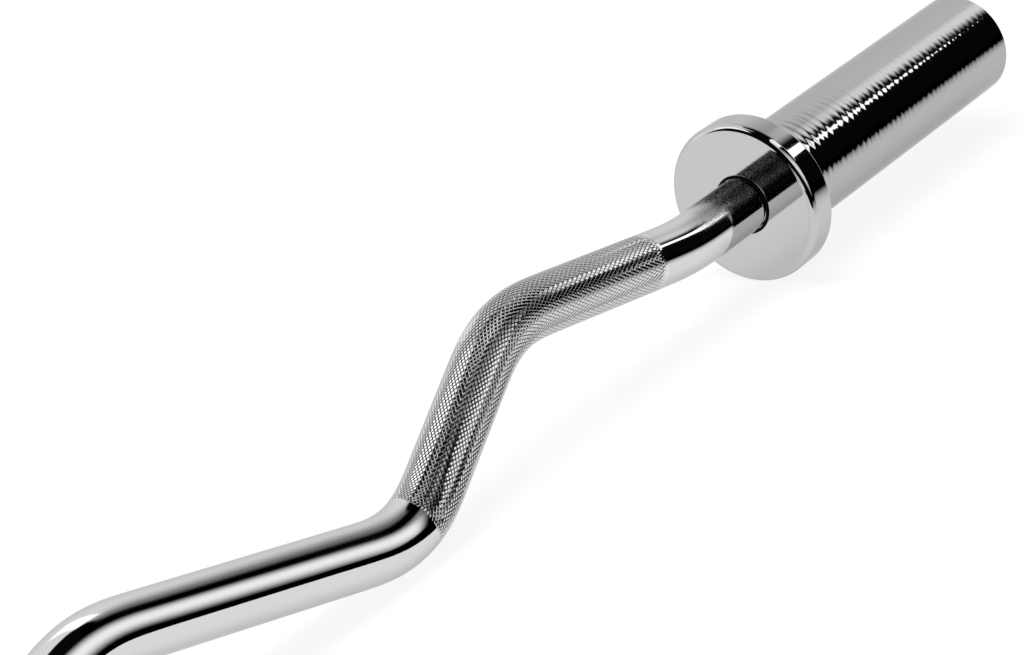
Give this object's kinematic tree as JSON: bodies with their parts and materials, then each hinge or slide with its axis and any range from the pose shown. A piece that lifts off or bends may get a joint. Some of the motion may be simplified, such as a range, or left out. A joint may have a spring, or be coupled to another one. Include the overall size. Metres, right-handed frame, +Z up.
{
  "type": "ez curl bar",
  "caption": "Bent chrome curl bar with knurled angled grips, plate collars and smooth sleeves that spin on the shaft.",
  "frame": {"origin": "middle of the common axis of both sleeves, halfway between the collars", "axes": "+X along the sleeve axis to the right-hand sleeve, +Z up from the floor that the collars and the grip valleys rest on"},
  "size_m": [1.187, 0.074, 0.074],
  "materials": {
    "bar_chrome": "polished, knurled on the grips",
    "collar_chrome": "mirror polished",
    "sleeve_chrome": "bright over fine turning marks",
    "cap_chrome": "polished",
    "bush_bronze": "oiled sintered bronze",
    "washer_steel": "ground",
    "spring_steel": "black phosphate",
    "seal_rubber": "matt"
  },
  "bodies": {
    "shaft": {"shaft": "bar_chrome", "right_inner_shaft_ring": "spring_steel", "right_inner_thrust_washer": "washer_steel", "right_outer_thrust_washer": "washer_steel", "right_outer_shaft_ring": "spring_steel", "left_inner_shaft_ring": "spring_steel", "left_inner_thrust_washer": "washer_steel", "left_outer_thrust_washer": "washer_steel", "left_outer_shaft_ring": "spring_steel"},
    "right_sleeve": {"right_sleeve": "sleeve_chrome", "right_collar": "collar_chrome", "right_dust_seal": "seal_rubber", "right_inner_bush": "bush_bronze", "right_outer_bush": "bush_bronze", "right_end_cap": "cap_chrome", "right_end_cap_ring": "spring_steel"},
    "left_sleeve": {"left_sleeve": "sleeve_chrome", "left_collar": "collar_chrome", "left_dust_seal": "seal_rubber", "left_inner_bush": "bush_bronze", "left_outer_bush": "bush_bronze", "left_end_cap": "cap_chrome", "left_end_cap_ring": "spring_steel"}
  },
  "joints": [
    {"name": "right_sleeve_spin", "type": "hinge", "parent": "shaft", "child": "right_sleeve", "pos_m": [0.5, 0, 0], "axis": [1, 0, 0], "continuous": true},
    {"name": "left_sleeve_spin", "type": "hinge", "parent": "shaft", "child": "left_sleeve", "pos_m": [-0.5, 0, 0], "axis": [1, 0, 0], "continuous": true}
  ]
}
